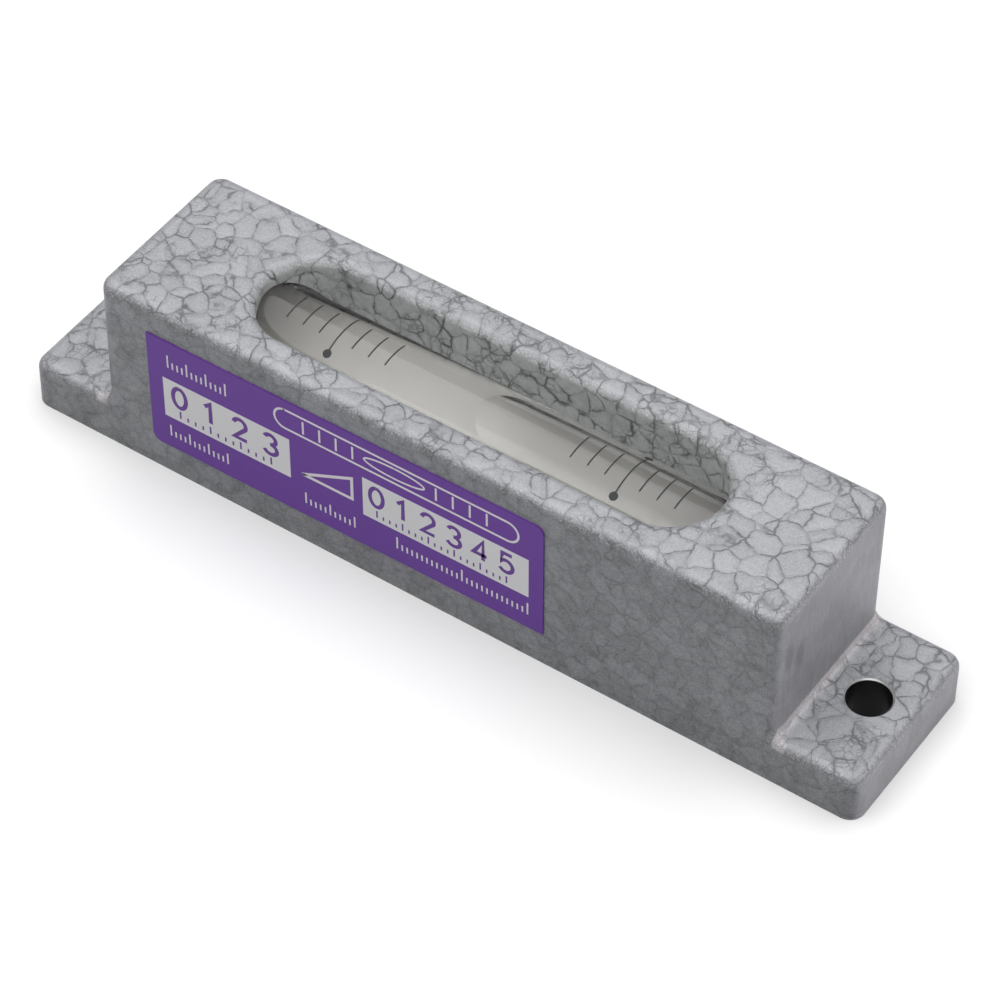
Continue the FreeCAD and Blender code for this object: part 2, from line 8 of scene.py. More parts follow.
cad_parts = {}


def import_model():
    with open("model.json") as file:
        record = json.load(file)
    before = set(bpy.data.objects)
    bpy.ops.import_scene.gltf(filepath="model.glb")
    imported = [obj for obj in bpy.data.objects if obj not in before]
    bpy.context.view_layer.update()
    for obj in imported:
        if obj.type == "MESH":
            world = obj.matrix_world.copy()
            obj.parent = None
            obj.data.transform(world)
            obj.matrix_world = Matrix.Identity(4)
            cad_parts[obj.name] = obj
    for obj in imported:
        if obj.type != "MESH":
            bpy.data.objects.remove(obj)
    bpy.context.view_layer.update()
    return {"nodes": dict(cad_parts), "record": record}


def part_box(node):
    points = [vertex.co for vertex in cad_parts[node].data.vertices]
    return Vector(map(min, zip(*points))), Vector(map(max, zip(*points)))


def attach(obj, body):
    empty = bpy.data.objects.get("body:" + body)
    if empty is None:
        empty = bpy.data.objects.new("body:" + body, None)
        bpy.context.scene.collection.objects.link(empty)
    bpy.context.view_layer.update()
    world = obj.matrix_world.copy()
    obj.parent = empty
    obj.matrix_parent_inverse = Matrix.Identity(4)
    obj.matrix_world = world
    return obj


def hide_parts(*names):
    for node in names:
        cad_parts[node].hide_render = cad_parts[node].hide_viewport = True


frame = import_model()

# Screw-on precision level. Metres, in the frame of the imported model: origin at the middle
# of the machined base, X along the vial, Z up, name plate on the -Y side.

MM = 0.001

# ---------------------------------------------------------------- sizes read from the frame
tube_low, tube_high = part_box("vial_tube")
VIAL_HEIGHT = (tube_low.z + tube_high.z) / 2
GLASS_RADIUS = (tube_high.y - tube_low.y) / 2
spirit_low, spirit_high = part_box("vial_spirit")
BORE_RADIUS = (spirit_high.y - spirit_low.y) / 2
SPIRIT_ENDS = (spirit_low.x, spirit_high.x)
bubble_low, bubble_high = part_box("vapour_bubble")
plate_low, plate_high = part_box("name_plate")
casting_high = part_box("body_casting")[1]

bolts = [m for m in frame["record"]["mounts"] if m["name"] == "bolt_holes"][0]["dims"]
BOLT_X = bolts["spacing_x_mm"] / 2 * MM
BOLT_RADIUS = bolts["hole_r_mm"] * MM

# ---------------------------------------------------------------- sizes of the added pieces
DIVISION = 2.0 * MM             # travel of the bubble for one division
LONG_LINE_X = 17.0 * MM         # the two long lines stand this far from the middle
SHORT_LINES = 3                 # short lines on each side of a long one
LINE_WIDTH = 0.17 * MM
LINE_HEIGHT = 0.012 * MM        # ink stands this far out of the glass
SHORT_HALF_ANGLE = math.radians(17.5)
LONG_HALF_ANGLE = math.radians(32.85)
LINE_TURN = math.radians(-1.9)  # the vial is turned a little in its bed
DOT_RADIUS = 0.47 * MM
PLATE_TILT = math.radians(0.6)
PRINT_HEIGHT = 0.012 * MM

# ---------------------------------------------------------------- the enamel, in millimetres
LARGE_CELL = 2.35
SMALL_CELL = 0.95
RUB_MARKS = ((-8.1, 16.2), (-6.1, 14.6))    # (y, z) on the right end face
END_FACE_X = 40.3

# ---------------------------------------------------------------- liquids, over their neighbour
SPIRIT_OVER_GLASS = 1.36 / 1.5
VAPOUR_OVER_SPIRIT = 1 / 1.2

# ---------------------------------------------------------------- stage
FLOOR_HALF = 1.5
WORLD_STRENGTH = 0.27
LAMP_PLACE = (0.0, -0.05, 0.7)
LAMP_SIZE = 1.4
LAMP_POWER = 10.2
CAMERA_ANGLES = (33.85, 46.718, 0.74)       # azimuth, elevation and roll, in degrees
CAMERA_AIM = (1.5 * MM, -3.964 * MM)        # right of and above a point 12 mm up the middle
CAMERA_AWAY = 421.825 * MM
CAMERA_LENS = 152.848


# ---------------------------------------------------------------- mesh helpers
def mesh_piece(name, vertices, faces, material, body="level", smooth=True):
    """A named mesh object at the origin, with its place in its vertices."""
    mesh = bpy.data.meshes.new(name)
    mesh.from_pydata(np.asarray(vertices).tolist(), [], faces)
    mesh.validate()
    mesh.polygons.foreach_set("use_smooth", np.full(len(mesh.polygons), smooth))
    mesh.update()
    piece = bpy.data.objects.new(name, mesh)
    bpy.context.scene.collection.objects.link(piece)
    mesh.materials.append(material)
    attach(piece, body)
    return piece


def grid_faces(rows, columns):
    """Quads between neighbouring points of a grid, with the last column joined to the
    first. Rows run along the shape and columns round it, so the faces point outwards when
    the columns turn right-handed about the direction of the rows."""
    row, column = np.meshgrid(np.arange(rows - 1), np.arange(columns), indexing="ij")
    after = (column + 1) % columns
    quads = np.stack([row * columns + column, row * columns + after,
                      (row + 1) * columns + after, (row + 1) * columns + column], axis=-1)
    return quads.reshape(-1, 4).tolist()


def closed_rows(points):
    """Vertices and faces of a shape whose rows are closed rings: points is an array of
    rows by columns by 3, and a flat face closes the first ring and the last."""
    rows, columns = points.shape[:2]
    faces = grid_faces(rows, columns)
    faces.append(list(range(columns))[::-1])
    faces.append(list(range((rows - 1) * columns, rows * columns)))
    return points.reshape(-1, 3), faces


def joined(shapes):
    """One list of vertices and one of faces for several shapes."""
    vertices, faces, count = [], [], 0
    for points, quads in shapes:
        vertices.append(points)
        faces += [[index + count for index in face] for face in quads]
        count += len(points)
    return np.concatenate(vertices), faces


# ---------------------------------------------------------------- material helpers
class Recipe:
    """A node material that is written down one step at a time."""

    def __init__(self, name):
        self.material = bpy.data.materials.new(name)
        self.material.use_nodes = True
        self.tree = self.material.node_tree
        self.tree.nodes.clear()
        self.output = self.tree.nodes.new("ShaderNodeOutputMaterial")

    def put(self, socket, value):
        if isinstance(value, bpy.types.NodeSocket):
            self.tree.links.new(value, socket)
        elif value is not None:
            socket.default_value = value

    def node(self, kind, inputs=None, **settings):
        node = self.tree.nodes.new("ShaderNode" + kind)
        for key, value in settings.items():
            setattr(node, key, value)
        for key, value in (inputs or {}).items():
            self.put(node.inputs[key], value)
        return node

    def math(self, operation, first, second=None, third=None, clamp=False):
        node = self.node("Math", operation=operation, use_clamp=clamp)
        for index, value in enumerate((first, second, third)):
            self.put(node.inputs[index], value)
        return node.outputs[0]

    def vector(self, operation, first, second=None):
        node = self.node("VectorMath", operation=operation)
        self.put(node.inputs[0], first)
        self.put(node.inputs[3 if operation == "SCALE" else 1], second)
        return node.outputs[1 if operation in ("LENGTH", "DISTANCE", "DOT_PRODUCT") else 0]

    def step(self, value, low, high, start=0.0, end=1.0):
        """Smooth rise from start to end while value goes from low to high."""
        node = self.node("MapRange", interpolation_type="SMOOTHSTEP")
        for index, number in enumerate((value, low, high, start, end)):
            self.put(node.inputs[index], number)
        return node.outputs[0]

    def mix(self, share, first, second, blend="MIX"):
        node = self.node("Mix", data_type="RGBA", blend_type=blend)
        self.put(node.inputs[0], share)
        self.put(node.inputs[6], first)
        self.put(node.inputs[7], second)
        return node.outputs[2]

    def noise(self, where, scale, detail=2.0, roughness=0.5, **settings):
        return self.node("TexNoise", {"Vector": where, "Scale": scale, "Detail": detail,
                                      "Roughness": roughness}, **settings)

    def object_mm(self):
        """Place on the piece in millimetres, in its own frame, and its surface normal."""
        where = self.node("TexCoord")
        return self.vector("SCALE", where.outputs["Object"], 1000.0), where.outputs["Normal"]

    def shade(self, shader):
        self.tree.links.new(shader.outputs[0], self.output.inputs["Surface"])
        return self.material


def grey(level):
    """A neutral colour of that level."""
    return (level, level, level, 1.0)


# ---------------------------------------------------------------- casting's finish
def cracked_cells(recipe, where, size, seed):
    """Rounded cells of about that size: how far a point is from the next border, in
    millimetres, and a random tone for each cell. The borders bend, because the place is
    moved by noise before the cells are looked up."""
    drift = recipe.noise(where, 0.62 / size, 3.0, 0.55).outputs["Color"]
    drift = recipe.vector("SUBTRACT", drift, (0.5, 0.5, 0.5))
    drift = recipe.vector("SCALE", drift, 1.0 * size)
    place = recipe.vector("ADD", recipe.vector("ADD", where, drift), (seed, seed, seed))
    inputs = {"Vector": place, "Scale": 1.0 / size, "Randomness": 0.9}
    edge = recipe.node("TexVoronoi", inputs, feature="DISTANCE_TO_EDGE")
    cell = recipe.node("TexVoronoi", inputs, feature="F1")
    return recipe.math("MULTIPLY", edge.outputs["Distance"], size), cell.outputs["Color"]


def hammered_enamel():
    """Silver-grey hammered enamel over cast iron.

    Rounded cells of one to two millimetres have dark cracks between them, some heavy and
    some all but closed. They are clear on surfaces that face up, where the wet paint lay
    flat, heavy on the window's walls, faint on the long sides, and all but gone on the two
    end faces. Rounded edges are rough, with speckled painted highlights on them and along
    the coves at the feet of the block. Painted shade darkens the long sides, and painted
    light makes the window's walls paler. The base, the bolt holes and their rims are bare
    metal, and painted shade makes the holes' walls almost black.
    """
    r = Recipe("hammered_enamel")
    where, normal = r.object_mm()
    place = r.node("SeparateXYZ", {"Vector": where}).outputs
    facing = r.node("SeparateXYZ", {"Vector": normal}).outputs
    far_x = r.math("ABSOLUTE", place[0])
    far_y = r.math("ABSOLUTE", place[1])

    # where on the casting a point is
    upward = r.step(facing[2], 0.35, 0.9)
    outside = r.step(far_x, 33.0, 36.0)
    end_face = r.math("MULTIPLY", r.step(r.math("ABSOLUTE", facing[0]), 0.6, 0.95), outside)
    window = r.math("MULTIPLY", r.step(far_x, 29.0, 29.5, 1.0, 0.0),
                    r.step(far_y, 8.6, 8.9, 1.0, 0.0))
    wall = r.math("MULTIPLY", window, r.math("SUBTRACT", 1.0, upward))
    side = r.math("SUBTRACT", r.math("SUBTRACT", 1.0, r.math("MAXIMUM", upward, end_face)),
                  wall, clamp=True)
    edge = r.math("MULTIPLY", r.step(facing[2], 0.08, 0.3),
                  r.step(facing[2], 0.8, 0.97, 1.0, 0.0))
    cove = r.math("MULTIPLY", r.math("MULTIPLY", edge, r.step(place[2], 7.0, 7.2, 1.0, 0.0)),
                  r.math("MULTIPLY", r.step(far_x, 40.1, 40.25),
                         r.step(far_x, 41.5, 41.7, 1.0, 0.0)))

    # cracks
    large, tone = cracked_cells(r, where, LARGE_CELL, 3.0)
    small, _ = cracked_cells(r, where, SMALL_CELL, 11.0)
    weight = r.step(r.noise(where, 0.5, 3.0, 0.6).outputs["Fac"], 0.36, 0.62)
    width = r.math("MULTIPLY_ADD", weight, 0.07, 0.1)
    width = r.math("MULTIPLY_ADD", wall, 0.02, width)
    line = r.step(r.math("DIVIDE", large, width), 0.0, 1.0, 1.0, 0.0)
    line = r.math("MULTIPLY", line, r.math("MULTIPLY_ADD", weight, 0.75, 0.25))
    patch = r.step(r.noise(where, 0.2, 2.0).outputs["Fac"], 0.47, 0.6)
    fine = r.step(small, 0.0, 0.11, 1.0, 0.0)
    fine = r.math("MULTIPLY", fine, r.math("MULTIPLY", patch, weight))
    lines = r.math("MAXIMUM", line, r.math("MULTIPLY", fine, 0.8))
    strength = r.math("MULTIPLY_ADD", end_face, -0.92,
                      r.math("MULTIPLY_ADD", side, -0.55, 1.0))
    lines = r.math("MULTIPLY", lines, r.math("MAXIMUM", strength, 0.0))
    halo = r.math("MULTIPLY", r.step(large, 0.05, 0.5, 1.0, 0.0), strength)

    # tone of the paint, with painted shade, painted light and painted highlights in it
    grain = r.noise(where, 6.5, 3.0, 0.7).outputs["Fac"]
    flake_and_glint = r.step(r.noise(where, 4.2, 2.0, 0.6).outputs["Fac"], 0.5, 0.68)
    blotch = r.step(r.noise(where, 1.1, 4.0, 0.65).outputs["Fac"], 0.42, 0.66)
    cloud = r.noise(where, 0.12, 2.0, 0.5).outputs["Fac"]
    tone = r.node("SeparateColor", {"Color": tone}).outputs[0]
    level = r.math("MULTIPLY_ADD", r.math("SUBTRACT", tone, 0.5), 0.05, 0.4)
    level = r.math("MULTIPLY_ADD", r.math("SUBTRACT", grain, 0.5), 0.42, level)
    level = r.math("MULTIPLY_ADD", r.math("SUBTRACT", cloud, 0.5), 0.08, level)
    level = r.math("MULTIPLY_ADD", halo, -0.045, level)
    level = r.math("MULTIPLY_ADD", r.math("MULTIPLY", blotch, side), -0.045, level)
    level = r.math("MULTIPLY_ADD", r.math("MULTIPLY", blotch, wall), -0.1, level)
    # painted light: the window's walls are made paler
    level = r.math("MULTIPLY_ADD", wall, 0.2, level)
    # painted shade: the long sides are made darker than the top
    level = r.math("MULTIPLY_ADD", side, -0.14, level)
    # painted highlight: pale speckles on the rounded edges
    level = r.math("MULTIPLY_ADD", r.math("MULTIPLY", edge, flake_and_glint), 0.17, level)
    # painted highlight along the coves where the block meets the flanges
    level = r.math("MULTIPLY_ADD", cove, 0.2, level)
    darkening = r.math("MULTIPLY_ADD", wall, -0.18, -0.56)
    level = r.math("MULTIPLY", level, r.math("MULTIPLY_ADD", lines, darkening, 1.0))

    # two dull rub marks on the right end face, and faint upright streaks
    streaks = r.node("Mapping", {"Vector": where, "Scale": (1.0, 3.0, 0.35)}).outputs[0]
    streaks = r.noise(streaks, 1.1, 3.0, 0.6).outputs["Fac"]
    level = r.math("MULTIPLY_ADD", r.math("MULTIPLY", end_face,
                                          r.math("SUBTRACT", streaks, 0.5)), 0.16, level)
    for mark_y, mark_z in RUB_MARKS:
        away = r.vector("SUBTRACT", where, (END_FACE_X, mark_y, mark_z))
        away = r.node("Mapping", {"Vector": away, "Scale": (1.0, 1.25, 0.5)}).outputs[0]
        away = r.math("ADD", r.vector("LENGTH", away), r.math("MULTIPLY", streaks, 0.6))
        mark = r.math("MULTIPLY", r.step(away, 0.8, 1.6, 1.0, 0.0), streaks)
        level = r.math("MULTIPLY_ADD", mark, -0.2, level)

    tint = r.mix(wall, (0.975, 1.0, 1.055, 1.0), (0.965, 1.0, 1.0, 1.0))
    tint = r.mix(end_face, tint, (1.0, 0.99, 1.07, 1.0))
    # pinkish tint of the painted highlights on edges and coves
    tint = r.mix(r.math("MAXIMUM", r.math("MULTIPLY", edge, flake_and_glint), cove), tint,
                 (1.03, 0.98, 1.02, 1.0))
    paint = r.node("CombineColor", {0: level, 1: level, 2: level}).outputs[0]
    paint = r.mix(1.0, paint, tint, "MULTIPLY")

    # bare metal: the ground base, the bolt holes and their bevelled rims, with painted shade in
    # the holes
    across = r.math("SUBTRACT", far_x, BOLT_X / MM)
    from_bolt = r.math("SQRT", r.math("ADD", r.math("MULTIPLY", across, across),
                                      r.math("MULTIPLY", place[1], place[1])))
    hole = r.step(from_bolt, BOLT_RADIUS / MM + 0.02, BOLT_RADIUS / MM + 0.05, 1.0, 0.0)
    rim = r.step(from_bolt, BOLT_RADIUS / MM + 0.17, BOLT_RADIUS / MM + 0.22, 1.0, 0.0)
    base = r.math("MULTIPLY", r.step(facing[2], -0.9, -0.6, 1.0, 0.0),
                  r.step(place[2], 0.1, 0.2, 1.0, 0.0))
    bare = r.math("MAXIMUM", base, rim)
    stretched = r.node("Mapping", {"Vector": where, "Scale": (0.25, 9.0, 1.0)}).outputs[0]
    scratches = r.noise(stretched, 2.0, 4.0, 0.7).outputs["Fac"]
    metal_level = r.math("MULTIPLY_ADD", scratches, 0.25, 0.5)
    metal = r.node("CombineColor", {0: metal_level, 1: metal_level,
                                    2: metal_level}).outputs[0]
    # painted shade: the bolt holes' walls are near black
    metal = r.mix(hole, metal, grey(0.03))
    colour = r.mix(bare, paint, metal)

    dome = r.math("MULTIPLY", r.step(large, 0.0, 0.6), strength)
    height = r.math("MULTIPLY_ADD", dome, 0.7, r.math("MULTIPLY", flake_and_glint, 0.12))
    height = r.math("MULTIPLY_ADD", r.math("MULTIPLY", edge, flake_and_glint), 0.7, height)
    height = r.math("MULTIPLY_ADD", grain, 0.45, height)
    height = r.math("MULTIPLY_ADD", lines, -0.4, height)
    height = r.mix(bare, height, r.math("MULTIPLY", scratches, 0.1))
    bump = r.node("Bump", {"Height": height, "Distance": 0.05 * MM, "Strength": 1.0})
    roughness = r.math("MULTIPLY_ADD", grain, 0.2, 0.4)
    roughness = r.mix(bare, roughness, r.math("MULTIPLY_ADD", scratches, 0.15, 0.25))
    metallic = r.math("MULTIPLY_ADD", bare, 0.45, 0.3)
    return r.shade(r.node("BsdfPrincipled", {
        "Base Color": colour, "Metallic": metallic, "Roughness": roughness,
        "Normal": bump.outputs[0]}))


# ---------------------------------------------------------------- vial's glass and liquid
def lets_lamps_through(recipe, shader, tint):
    """The same shader, with a plain tint for the rays that go to the lamps."""
    path = recipe.node("LightPath")
    clear = recipe.node("BsdfTransparent", {"Color": tint})
    return recipe.node("MixShader", {0: path.outputs["Is Shadow Ray"],
                                     1: shader.outputs[0], 2: clear.outputs[0]})


def vial_glass():
    """Clear glass. The bore's wall is left to the liquid that touches it."""
    r = Recipe("vial_glass")
    where, _ = r.object_mm()
    place = r.node("SeparateXYZ", {"Vector": where}).outputs
    height = r.math("SUBTRACT", place[2], VIAL_HEIGHT / MM)
    from_axis = r.math("SQRT", r.math("ADD", r.math("MULTIPLY", height, height),
                                      r.math("MULTIPLY", place[1], place[1])))
    middle = (BORE_RADIUS + GLASS_RADIUS) / 2 / MM
    bore = r.math("LESS_THAN", from_axis, middle)
    ripple = r.noise(where, 0.35, 2.0).outputs["Fac"]
    bump = r.node("Bump", {"Height": ripple, "Distance": 0.01 * MM, "Strength": 0.4})
    glass = r.node("BsdfPrincipled", {
        "Base Color": (0.985, 0.98, 0.975, 1.0), "Roughness": 0.02, "IOR": 1.5,
        "Transmission Weight": 1.0, "Normal": bump.outputs[0]})
    clear = r.node("BsdfTransparent")
    wall = r.node("MixShader", {0: bore, 1: glass.outputs[0], 2: clear.outputs[0]})
    return r.shade(lets_lamps_through(r, wall, (0.96, 0.955, 0.95, 1.0)))


def liquid(name, ior, tint, lamp_tint):
    """A liquid or vapour behind another clear body. ior is its own over its neighbour's."""
    r = Recipe(name)
    body = r.node("BsdfPrincipled", {
        "Base Color": tint, "Roughness": 0.0, "IOR": ior, "Transmission Weight": 1.0})
    return r.shade(lets_lamps_through(r, body, lamp_tint))


# ---------------------------------------------------------------- plain finishes
def plaster():
    """Matt white plaster, smooth where it was poured against the glass."""
    r = Recipe("plaster")
    where, _ = r.object_mm()
    fine = r.noise(where, 5.0, 4.0, 0.6).outputs["Fac"]
    broad = r.noise(where, 0.3, 2.0).outputs["Fac"]
    level = r.math("MULTIPLY_ADD", fine, 0.05, r.math("MULTIPLY_ADD", broad, 0.05, 0.42))
    warm = r.math("MULTIPLY", level, 0.965)
    colour = r.node("CombineColor", {0: level, 1: level, 2: warm}).outputs[0]
    bump = r.node("Bump", {"Height": fine, "Distance": 0.02 * MM})
    return r.shade(r.node("BsdfPrincipled", {
        "Base Color": colour, "Roughness": 0.85, "Normal": bump.outputs[0]}))


def brushed_steel(name, level, stretch):
    """Rolled or turned steel with fine lines along one way."""
    r = Recipe(name)
    where, _ = r.object_mm()
    lines = r.node("Mapping", {"Vector": where, "Scale": stretch}).outputs[0]
    grain = r.noise(lines, 3.0, 4.0, 0.7).outputs["Fac"]
    stain = r.noise(where, 0.25, 3.0).outputs["Fac"]
    tone = r.math("MULTIPLY_ADD", grain, 0.2, r.math("MULTIPLY_ADD", stain, 0.1, level))
    colour = r.node("CombineColor", {0: tone, 1: tone, 2: tone}).outputs[0]
    bump = r.node("Bump", {"Height": grain, "Distance": 0.01 * MM})
    rough = r.math("MULTIPLY_ADD", grain, 0.2, 0.25)
    return r.shade(r.node("BsdfPrincipled", {
        "Base Color": colour, "Metallic": 1.0, "Roughness": rough,
        "Normal": bump.outputs[0]}))


def printed(name, colour, level_change, roughness):
    """Printed film: an even colour with a faint cloud and a fine grain in it."""
    r = Recipe(name)
    where, _ = r.object_mm()
    cloud = r.noise(where, 0.25, 2.0).outputs["Fac"]
    grain = r.noise(where, 9.0, 2.0).outputs["Fac"]
    change = r.math("MULTIPLY_ADD", cloud, level_change, 1.0 - level_change / 2)
    change = r.math("MULTIPLY_ADD", r.math("SUBTRACT", grain, 0.5), level_change, change)
    tinted = r.node("CombineColor", {0: change, 1: change, 2: change}).outputs[0]
    colour = r.mix(1.0, colour, tinted, "MULTIPLY")
    bump = r.node("Bump", {"Height": grain, "Distance": 0.003 * MM})
    return r.shade(r.node("BsdfPrincipled", {
        "Base Color": colour, "Roughness": roughness, "Normal": bump.outputs[0]}))


INK = printed("graduation_ink", (0.022, 0.024, 0.025, 1.0), 0.3, 0.5)
PURPLE = printed("purple_enamel", (0.13, 0.025, 0.33, 1.0), 0.05, 0.5)
PURPLE_INK = printed("purple_ink", (0.13, 0.03, 0.3, 1.0), 0.05, 0.5)
PALE = printed("pale_print", (0.86, 0.86, 0.88, 1.0), 0.05, 0.5)
WHITE = printed("white_print", (0.88, 0.84, 0.9, 1.0), 0.05, 0.5)


def dress(node, material):
    """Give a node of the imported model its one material."""
    slots = frame["nodes"][node].data.materials
    slots.clear()
    slots.append(material)


dress("body_casting", hammered_enamel())
dress("vial_tube", vial_glass())
dress("plaster_bed", plaster())
dress("base_cover", brushed_steel("rolled_steel", 0.42, (0.2, 6.0, 1.0)))
dress("cover_screws", brushed_steel("turned_steel", 0.36, (3.0, 3.0, 0.5)))
dress("name_plate", PURPLE)


# ---------------------------------------------------------------- liquid and bubble
def revolved(profile, segments):
    """A profile of (x, radius) pairs carried round the vial's axis, closed at both ends."""
    profile = np.asarray(profile)
    turn = np.linspace(0.0, 2 * math.pi, segments, endpoint=False)
    x = np.repeat(profile[:, :1], segments, axis=1)
    y = profile[:, 1:] * np.cos(turn)
    z = VIAL_HEIGHT + profile[:, 1:] * np.sin(turn)
    return closed_rows(np.stack([x, y, z], axis=-1))


def fill_vial():
    """The liquid as it fills the bore: a long cylinder with bevelled ends. The bubble is
    a body of its own inside it, so that it can travel."""
    start, end = SPIRIT_ENDS
    bevel = (GLASS_RADIUS - BORE_RADIUS) * 0.8
    profile = [(start, BORE_RADIUS - bevel), (start + bevel, BORE_RADIUS),
               (end - bevel, BORE_RADIUS), (end, BORE_RADIUS - bevel)]
    vertices, faces = revolved(profile, 128)
    material = liquid("spirit", SPIRIT_OVER_GLASS, (0.99, 0.985, 0.98, 1.0), (1.0, 1.0, 1.0, 1.0))
    piece = mesh_piece("spirit_fill", vertices, faces, material)
    piece.data.polygons.foreach_set(
        "use_smooth", np.array([len(p.vertices) == 4 for p in piece.data.polygons]))
    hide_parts("vial_spirit")
    return piece


def vapour():
    """The bubble, as sections across the vial from one end to the other.

    The half-width is constant in the middle and falls off at both ends as a quarter
    ellipse. Above, each section follows the bore, and below it is all but flat, at the
    height where the bore has that width, with a slightly rounded rim.
    """
    film = 0.05 * MM
    top = BORE_RADIUS - film
    widest = (bubble_high.y - bubble_low.y) / 2
    end_reach = 1.07 * widest
    length = bubble_high.x - bubble_low.x
    share = (1 - np.cos(np.linspace(0.0, math.pi, 97))) / 2
    inward = np.minimum(share, 1 - share) * length
    near = np.clip(1 - inward / end_reach, 0.0, 1.0)
    half_width = np.maximum(widest * np.sqrt(1 - near ** 2), 0.01 * MM)[:, None]
    turn = np.linspace(0.0, 2 * math.pi, 72, endpoint=False)[None, :]
    y = half_width * np.cos(turn)
    roof = np.sqrt(top ** 2 - y ** 2)
    floor_height = np.sqrt(top ** 2 - half_width ** 2)
    sag = 0.06 * half_width * (1 - (y / half_width) ** 2)
    z = VIAL_HEIGHT + np.where(np.sin(turn) >= 0, roof, floor_height - sag)
    x = np.broadcast_to((bubble_low.x + share * length)[:, None], y.shape)
    vertices, faces = closed_rows(np.stack([x, y, z], axis=-1))
    clear = (1.0, 1.0, 1.0, 1.0)
    material = liquid("vapour", VAPOUR_OVER_SPIRIT, clear, clear)
    piece = mesh_piece("bubble", vertices, faces, material, body="bubble")
    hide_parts("vapour_bubble")
    return piece


fill_vial()
vapour()


# ---------------------------------------------------------------- graduations
def on_glass(x, arc, lift):
    """Points on the glass: x along it, arc round it from the top as a length, lift out of
    it. The glass is a cylinder, so the angle is the arc over its radius."""
    angle = arc / GLASS_RADIUS + LINE_TURN
    radius = GLASS_RADIUS + lift
    return np.stack([x, -radius * np.sin(angle), VIAL_HEIGHT + radius * np.cos(angle)], -1)


def ring_line(x, half_angle):
    """A line round the glass: a low rounded section carried along an arc."""
    arc = np.linspace(-half_angle, half_angle, 25)[:, None] * GLASS_RADIUS
    turn = np.linspace(0.0, 2 * math.pi, 8, endpoint=False)[None, :]
    across = LINE_WIDTH / 2 * np.cos(turn) + 0 * arc
    lift = LINE_HEIGHT * np.maximum(np.sin(turn), -0.4) + 0 * arc
    return closed_rows(on_glass(x + across, arc + 0 * turn, lift))


def dot(x, arc):
    """A filled dot on the glass: rings from its buried rim up over its rounded edge."""
    share = np.array([1.0, 1.0, 0.9, 0.55, 0.06])[:, None]
    lift = np.array([-0.4, 0.4, 1.0, 0.85, 0.8])[:, None] * LINE_HEIGHT
    turn = np.linspace(0.0, 2 * math.pi, 32, endpoint=False)[None, :]
    return closed_rows(on_glass(x + DOT_RADIUS * share * np.cos(turn),
                                arc - DOT_RADIUS * share * np.sin(turn), lift + 0 * turn))


def graduations():
    """Two groups of lines, each a long line with a dot at both ends and short ones beside
    it, one division apart."""
    shapes = []
    for middle in (-LONG_LINE_X, LONG_LINE_X):
        shapes.append(ring_line(middle, LONG_HALF_ANGLE))
        for number in range(1, SHORT_LINES + 1):
            for side in (-1, 1):
                shapes.append(ring_line(middle + side * number * DIVISION,
                                        SHORT_HALF_ANGLE))
        for end in (-LONG_HALF_ANGLE, LONG_HALF_ANGLE):
            shapes.append(dot(middle, end * GLASS_RADIUS))
    return mesh_piece("graduations", *joined(shapes), INK)


graduations()


# ---------------------------------------------------------------- print on the name plate
def on_plate(outline):
    """A thin flat shape on the plate. outline holds (along, up) pairs in millimetres from
    the plate's middle, anticlockwise as seen from the front."""
    outline = np.asarray(outline, float) * MM
    cos, sin = math.cos(PLATE_TILT), math.sin(PLATE_TILT)
    middle_x = (plate_low.x + plate_high.x) / 2
    middle_z = (plate_low.z + plate_high.z) / 2
    x = middle_x + outline[:, 0] * cos - outline[:, 1] * sin
    z = middle_z + outline[:, 0] * sin + outline[:, 1] * cos
    rings = [np.stack([x, np.full_like(x, plate_low.y - lift), z], -1)
             for lift in (-0.3 * PRINT_HEIGHT, PRINT_HEIGHT)]
    return closed_rows(np.stack(rings))


def rectangle(left, bottom, right, top):
    """The corners of an upright rectangle, anticlockwise."""
    return [(left, bottom), (right, bottom), (right, top), (left, top)]


def stroke(path, width, layer=PRINT_HEIGHT):
    """A flat ribbon on the plate: a low rectangular section carried along a path of
    (along, up) pairs in millimetres, mitred at its corners. It reaches from half a layer
    to two layers off the plate."""
    path = np.asarray(path, float)
    legs = np.diff(path, axis=0)
    legs /= np.linalg.norm(legs, axis=1)[:, None]
    before = np.vstack([legs[:1], legs])
    after = np.vstack([legs, legs[-1:]])
    left = np.stack([-(before + after)[:, 1], (before + after)[:, 0]], -1)
    left /= np.linalg.norm(left, axis=1)[:, None]
    turned = np.stack([-before[:, 1], before[:, 0]], -1)
    left *= (width / 2 / np.maximum((left * turned).sum(1), 0.5))[:, None]
    cos, sin = math.cos(PLATE_TILT), math.sin(PLATE_TILT)
    sections = []
    for side, lift in ((1, 0.5), (1, 2), (-1, 2), (-1, 0.5)):
        level = plate_low.y - lift * layer
        spot = (path + side * left) * MM
        x = (plate_low.x + plate_high.x) / 2 + spot[:, 0] * cos - spot[:, 1] * sin
        z = (plate_low.z + plate_high.z) / 2 + spot[:, 0] * sin + spot[:, 1] * cos
        sections.append(np.stack([x, np.full_like(x, level), z], -1))
    return closed_rows(np.stack(sections, axis=1))


def arc(centre, radii, start, end, count=16):
    """Points of an ellipse's arc from one angle to another, in degrees."""
    turn = np.radians(np.linspace(start, end, count))
    return [(centre[0] + radii[0] * math.cos(t), centre[1] + radii[1] * math.sin(t))
            for t in turn]


